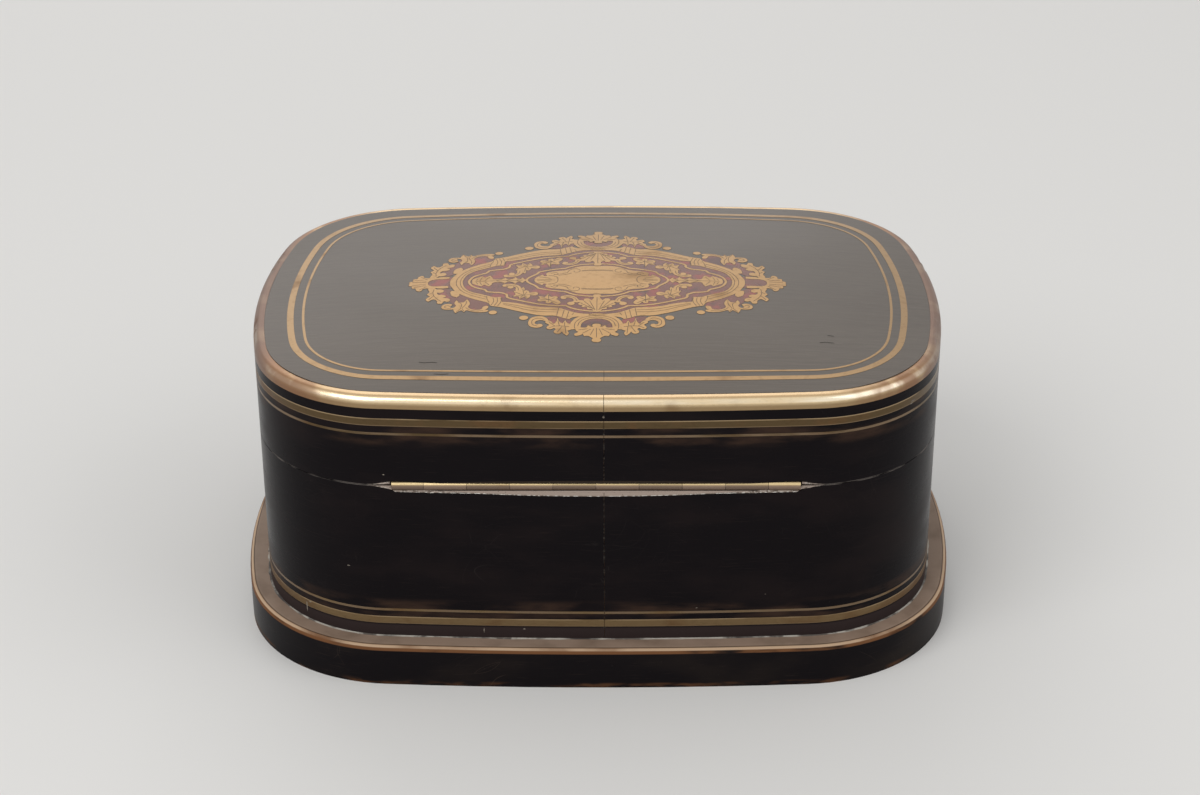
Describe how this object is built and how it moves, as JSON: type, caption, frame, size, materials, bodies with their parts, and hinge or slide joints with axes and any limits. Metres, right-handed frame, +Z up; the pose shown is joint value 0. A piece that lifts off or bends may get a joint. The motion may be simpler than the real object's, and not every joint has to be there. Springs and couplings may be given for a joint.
{
  "type": "jewelry casket",
  "caption": "Black wooden jewelry casket with bowed sides, a low domed hinged lid, brass lines and a brass and red shell panel, a lock with a key and a lift-out tray.",
  "frame": {"origin": "middle of the foot, on the surface that the casket stands on", "axes": "+Z up; +X along the long side, to the right of someone who faces the keyhole; the keyhole is on the -Y side and the hinge on the +Y side"},
  "size_m": [0.286, 0.2257, 0.1255],
  "materials": {
    "carcass_wood": "matt bare wood",
    "ebonised_wood": "black stained and polished, satin",
    "tray_wood": "polished dark red wood",
    "rim_brass": "rubbed, satin",
    "string_brass": "dull, tarnished",
    "marquetry_brass": "engraved, satin",
    "hinge_brass": "dull, tarnished",
    "lock_brass": "satin",
    "red_shell": "polished, translucent brown over red",
    "steel": "dull",
    "key_steel": "worn, polished by the hand",
    "satin": "glossy satin",
    "velvet": "velvet",
    "ribbon": "silk ribbon"
  },
  "bodies": {
    "case": {"case_wall": "carcass_wood", "case_veneer": "ebonised_wood", "plinth_moulding": "ebonised_wood", "base_board": "carcass_wood", "base_screws": "steel", "case_line_wide": "string_brass", "case_line_thin": "string_brass", "lining_board": "carcass_wood", "floor_pad": "satin", "case_lining": "satin", "hinge_leaf_case": "hinge_brass", "hinge_pin": "steel", "hinge_screws_case": "hinge_brass", "lock_plate": "lock_brass", "lock_box": "lock_brass", "drill_pin": "steel", "lock_screws": "lock_brass", "lock_spring": "steel", "escutcheon": "string_brass", "escutcheon_pins": "string_brass"},
    "lid": {"lid_wall": "carcass_wood", "lid_panel": "carcass_wood", "lid_veneer": "ebonised_wood", "lid_line_wide": "string_brass", "lid_line_thin": "string_brass", "rim_band": "rim_brass", "lid_top_veneer": "ebonised_wood", "top_line_wide": "string_brass", "top_line_thin": "string_brass", "marquetry_shell": "red_shell", "marquetry_band": "marquetry_brass", "marquetry_thread": "marquetry_brass", "marquetry_medallion_line": "marquetry_brass", "marquetry_medallion": "marquetry_brass", "marquetry_rings": "marquetry_brass", "marquetry_leaves": "marquetry_brass", "hinge_leaf_lid": "hinge_brass", "hinge_screws_lid": "hinge_brass", "link_plate": "lock_brass", "link_screws": "lock_brass", "lid_lining": "satin", "lid_pad": "satin", "lid_pad_buttons": "satin"},
    "tray": {"tray_floor": "tray_wood", "tray_wall": "tray_wood", "tray_dividers_cross": "tray_wood", "tray_dividers_long": "tray_wood", "tray_pads": "velvet", "ring_rolls": "velvet", "tray_tabs": "ribbon"},
    "key": {"key": "key_steel"},
    "bolt": {"lock_bolt": "lock_brass"}
  },
  "joints": [
    {"name": "lid_hinge", "type": "hinge", "parent": "case", "child": "lid", "pos_m": [0, 0.09055, 0.0826], "axis": [-1, 0, 0], "range_deg": [0, 95]},
    {"name": "key_turn", "type": "hinge", "parent": "case", "child": "key", "pos_m": [0, -0.09, 0.062], "axis": [0, 1, 0], "range_deg": [0, 90]},
    {"name": "bolt_slide", "type": "slide", "parent": "case", "child": "bolt", "axis": [1, 0, 0], "range_m": [0, 0.004]},
    {"name": "tray_lift", "type": "slide", "parent": "case", "child": "tray", "axis": [0, 0, 1], "range_m": [0, 0.006]}
  ],
  "couplings": [
    {"joint": "bolt_slide", "follows": "key_turn", "m_per_rad": 0.002546}
  ]
}
